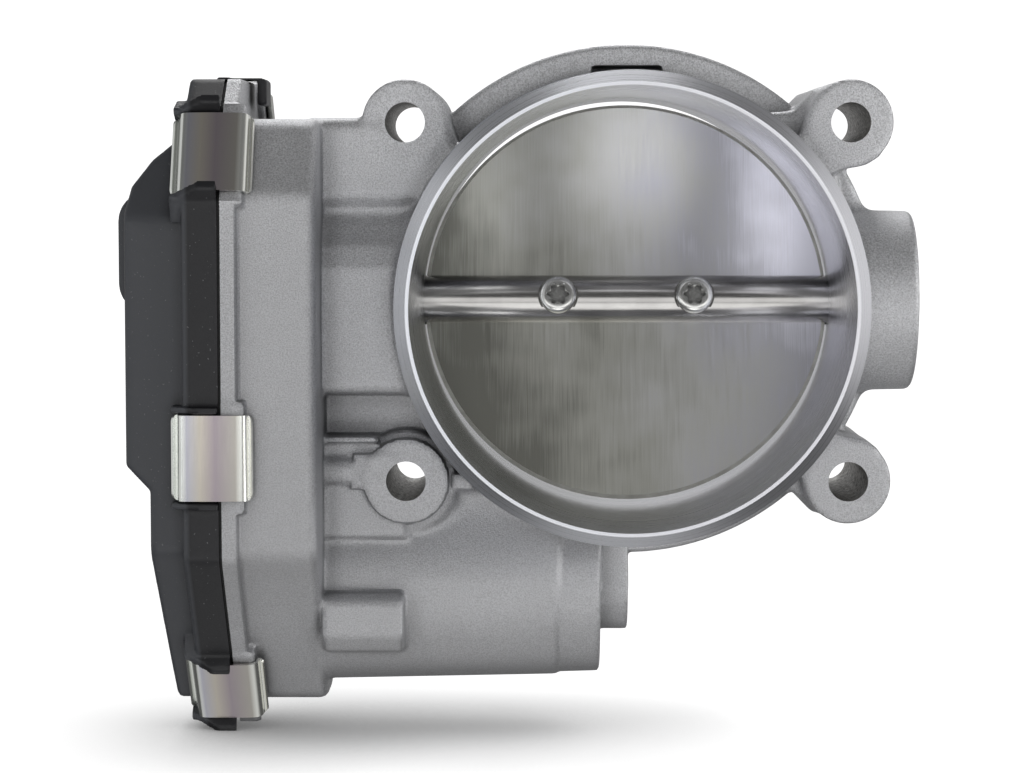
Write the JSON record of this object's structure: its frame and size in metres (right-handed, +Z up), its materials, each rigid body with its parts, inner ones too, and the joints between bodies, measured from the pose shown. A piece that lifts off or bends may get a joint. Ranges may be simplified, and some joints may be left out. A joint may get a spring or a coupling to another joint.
{
  "type": "electronic throttle body",
  "caption": "Electronic throttle body: round bore with a butterfly plate on a cross shaft, motor, gear train and clipped plastic gear cover.",
  "frame": {"origin": "centre of the bore on the rear mounting face, which bolts to the manifold", "axes": "+Y along the bore towards the manifold, X along the throttle shaft with the gear case on -X, +Z up with the motor below the bore"},
  "size_m": [0.1642, 0.0775, 0.1407],
  "materials": {
    "cast_aluminium": "fine sand-blasted casting, machined on the sealing faces",
    "plate_aluminium": "brushed",
    "shaft_steel": "ground",
    "screw_steel": "bright zinc plated",
    "bearing_steel": "ground",
    "seal_rubber": "matt",
    "dark_gear_plastic": "moulded",
    "pale_gear_plastic": "moulded",
    "pinion_brass": "hobbed",
    "bush_bronze": "sintered",
    "motor_steel": "zinc plated",
    "magnet": "sintered, dark",
    "copper": "varnished winding",
    "carbon": "pressed carbon",
    "spring_steel": "drawn wire",
    "clip_steel": "rolled strip",
    "cover_plastic": "moulded, lightly textured",
    "gasket_rubber": "matt",
    "board": "coated",
    "chip": "moulded",
    "terminal_brass": "tinned"
  },
  "bodies": {
    "body": {"housing": "cast_aluminium", "needle_bearing_cup": "bearing_steel", "needle_rollers": "bearing_steel", "ball_bearing_outer_race": "bearing_steel", "ball_bearing_balls": "bearing_steel", "gear_side_seal": "seal_rubber", "far_side_seal": "seal_rubber", "shaft_end_plug": "motor_steel", "return_spring": "spring_steel", "throttle_stop_screw": "screw_steel", "intermediate_pin": "bearing_steel", "motor_can": "motor_steel", "motor_magnets": "magnet", "motor_end_plate": "dark_gear_plastic", "motor_brushes": "carbon", "motor_bushes": "bush_bronze", "motor_wave_washer": "spring_steel", "motor_screws": "screw_steel", "motor_terminals": "terminal_brass", "cover_gasket": "gasket_rubber", "cover": "cover_plastic", "spring_clips": "clip_steel", "sensor_board": "board", "sensor_chips": "chip", "connector_terminals": "terminal_brass"},
    "throttle": {"throttle_plate": "plate_aluminium", "throttle_shaft": "shaft_steel", "plate_screws": "screw_steel", "ball_bearing_inner_race": "bearing_steel", "sector_gear": "dark_gear_plastic", "sensor_magnet": "magnet"},
    "intermediate": {"intermediate_gear": "pale_gear_plastic"},
    "motor_rotor": {"motor_armature": "motor_steel", "motor_windings": "copper", "motor_commutator": "copper", "motor_shaft": "bearing_steel", "motor_pinion": "pinion_brass"}
  },
  "joints": [
    {"name": "throttle_turn", "type": "hinge", "parent": "body", "child": "throttle", "pos_m": [0, -0.0308, 0], "axis": [-1, 0, 0], "range_deg": [-9, 76], "stiffness_Nm_per_rad": 0.05},
    {"name": "intermediate_turn", "type": "hinge", "parent": "body", "child": "intermediate", "pos_m": [-0.07, -0.03085, -0.0312], "axis": [-1, 0, 0], "range_deg": [-253.43, 30.1]},
    {"name": "motor_turn", "type": "hinge", "parent": "body", "child": "motor_rotor", "pos_m": [-0.07, -0.025, -0.0594], "axis": [-1, 0, 0], "range_deg": [-150.1, 1266.77]}
  ],
  "couplings": [
    {"joint": "intermediate_turn", "follows": "throttle_turn", "ratio": -3.3333},
    {"joint": "motor_turn", "follows": "throttle_turn", "ratio": 16.667}
  ]
}
